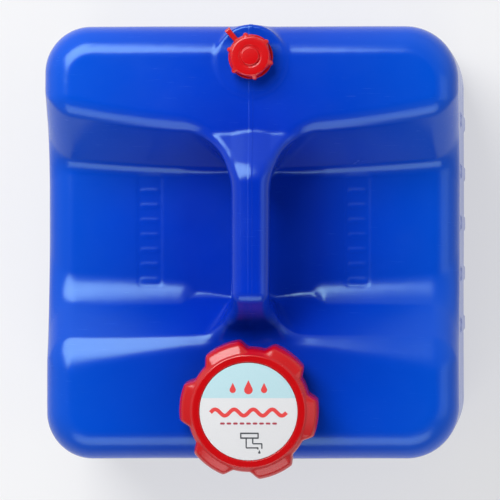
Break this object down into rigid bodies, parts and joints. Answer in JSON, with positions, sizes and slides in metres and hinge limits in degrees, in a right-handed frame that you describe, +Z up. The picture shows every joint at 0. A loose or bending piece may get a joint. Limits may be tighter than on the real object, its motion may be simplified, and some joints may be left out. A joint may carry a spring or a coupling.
{
  "type": "water jerry can",
  "caption": "Rigid water can with a bridge handle between hand valleys, a lobed screw cap that stores a tap inside, and a tethered vent cap.",
  "frame": {"origin": "middle of the flat base that the can stands on", "axes": "+Z up through the handle, +Y towards the wall under the vent cap, +X to the right when seen from the tap cap side"},
  "size_m": [0.2814, 0.3053, 0.388],
  "materials": {
    "can_blue": "satin blow-moulded polyethylene",
    "cap_red": "satin injection-moulded polypropylene",
    "tap_white": "satin",
    "lever_blue": "satin",
    "rubber_black": "matt",
    "seal_foam": "matt closed-cell foam",
    "label_film": "satin printed film"
  },
  "bodies": {
    "can": {"can_body": "can_blue", "tether_neck_ring": "cap_red", "tether_strap": "cap_red"},
    "tap_cap_seal": {"tap_cap_gasket": "seal_foam"},
    "tap_cap": {"tap_cap": "cap_red", "tap_label": "label_film", "tap_washer": "rubber_black", "tap_body": "tap_white"},
    "tap_valve": {"tap_plug": "tap_white", "plug_seal_front": "rubber_black", "plug_seal_rear": "rubber_black", "tap_lever": "lever_blue"},
    "vent_tether_ring": {"tether_cap_ring": "cap_red"},
    "vent_cap": {"vent_cap": "cap_red", "vent_cap_seal": "seal_foam"}
  },
  "joints": [
    {"name": "tap_cap_lift", "type": "slide", "parent": "can", "child": "tap_cap_seal", "axis": [0, -0.0785, 0.9969], "range_m": [0, 0.009]},
    {"name": "tap_cap_turn", "type": "hinge", "parent": "tap_cap_seal", "child": "tap_cap", "pos_m": [-0.001, -0.1106, 0.354], "axis": [0, -0.0785, 0.9969], "range_deg": [0, 540]},
    {"name": "tap_valve_turn", "type": "hinge", "parent": "tap_cap", "child": "tap_valve", "pos_m": [-0.001, -0.10777, 0.31811], "axis": [0, 0.9969, 0.0785], "range_deg": [0, 90]},
    {"name": "vent_cap_lift", "type": "slide", "parent": "can", "child": "vent_tether_ring", "axis": [0, 0, 1], "range_m": [0, 0.0045], "deforming": ["tether_strap"]},
    {"name": "vent_cap_turn", "type": "hinge", "parent": "vent_tether_ring", "child": "vent_cap", "pos_m": [0, 0.125, 0.38], "axis": [0, 0, 1], "range_deg": [0, 540]}
  ],
  "couplings": [
    {"joint": "tap_cap_lift", "follows": "tap_cap_turn", "m_per_rad": 0.000954},
    {"joint": "vent_cap_lift", "follows": "vent_cap_turn", "m_per_rad": 0.000477}
  ]
}
